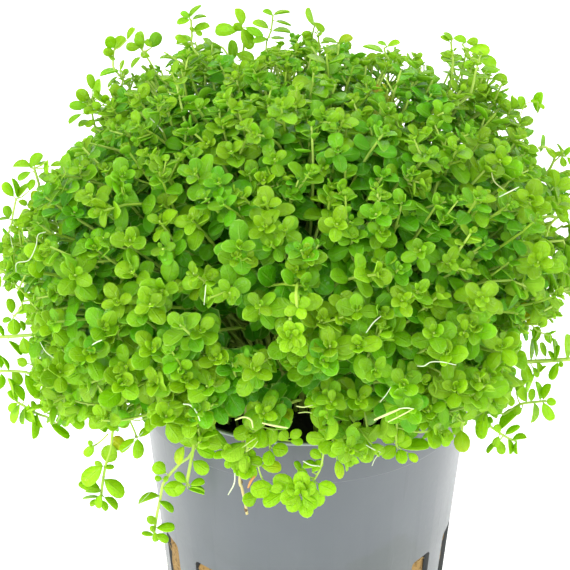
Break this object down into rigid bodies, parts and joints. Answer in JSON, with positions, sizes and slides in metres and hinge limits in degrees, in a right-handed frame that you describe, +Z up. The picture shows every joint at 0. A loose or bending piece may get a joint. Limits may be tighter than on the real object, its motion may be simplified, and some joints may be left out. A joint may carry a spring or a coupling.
{
  "type": "potted dwarf baby tears plant",
  "caption": "Low cushion of small round-leaved shoots growing from a mineral-wool plug in a round slotted net pot, for planting in an aquarium.",
  "frame": {"origin": "on the pot's axis, at its flat underside", "axes": "+Z up along the pot's axis, -Y the front shown in the picture, +X to the right of it"},
  "size_m": [0.0955, 0.0918, 0.1022],
  "materials": {
    "pot_plastic": "satin grey moulded plastic, slightly translucent",
    "mineral_wool": "coarse matt tan fibre, damp",
    "leaf_green": "soft satin leaves, yellow-green at the tips and deeper green inside"
  },
  "bodies": {
    "root": {"net_pot": "pot_plastic", "mineral_wool_plug": "mineral_wool", "shoot_01": "leaf_green", "shoot_02": "leaf_green", "shoot_03": "leaf_green", "shoot_04": "leaf_green", "shoot_05": "leaf_green", "shoot_06": "leaf_green", "shoot_07": "leaf_green", "shoot_08": "leaf_green", "shoot_09": "leaf_green", "shoot_10": "leaf_green", "shoot_11": "leaf_green", "shoot_12": "leaf_green", "shoot_13": "leaf_green", "shoot_14": "leaf_green", "shoot_15": "leaf_green", "shoot_16": "leaf_green", "shoot_17": "leaf_green", "shoot_18": "leaf_green", "shoot_19": "leaf_green", "shoot_20": "leaf_green", "shoot_21": "leaf_green", "shoot_22": "leaf_green", "shoot_23": "leaf_green", "shoot_24": "leaf_green", "shoot_25": "leaf_green", "shoot_26": "leaf_green", "shoot_27": "leaf_green", "shoot_28": "leaf_green", "shoot_29": "leaf_green", "shoot_30": "leaf_green", "shoot_31": "leaf_green", "shoot_32": "leaf_green", "shoot_33": "leaf_green", "shoot_34": "leaf_green", "shoot_35": "leaf_green", "shoot_36": "leaf_green", "shoot_37": "leaf_green", "shoot_38": "leaf_green", "shoot_39": "leaf_green", "shoot_40": "leaf_green", "shoot_41": "leaf_green", "shoot_42": "leaf_green", "shoot_43": "leaf_green", "shoot_44": "leaf_green", "shoot_45": "leaf_green", "shoot_46": "leaf_green", "shoot_47": "leaf_green", "shoot_48": "leaf_green", "shoot_49": "leaf_green", "shoot_50": "leaf_green"}
  },
  "joints": []
}
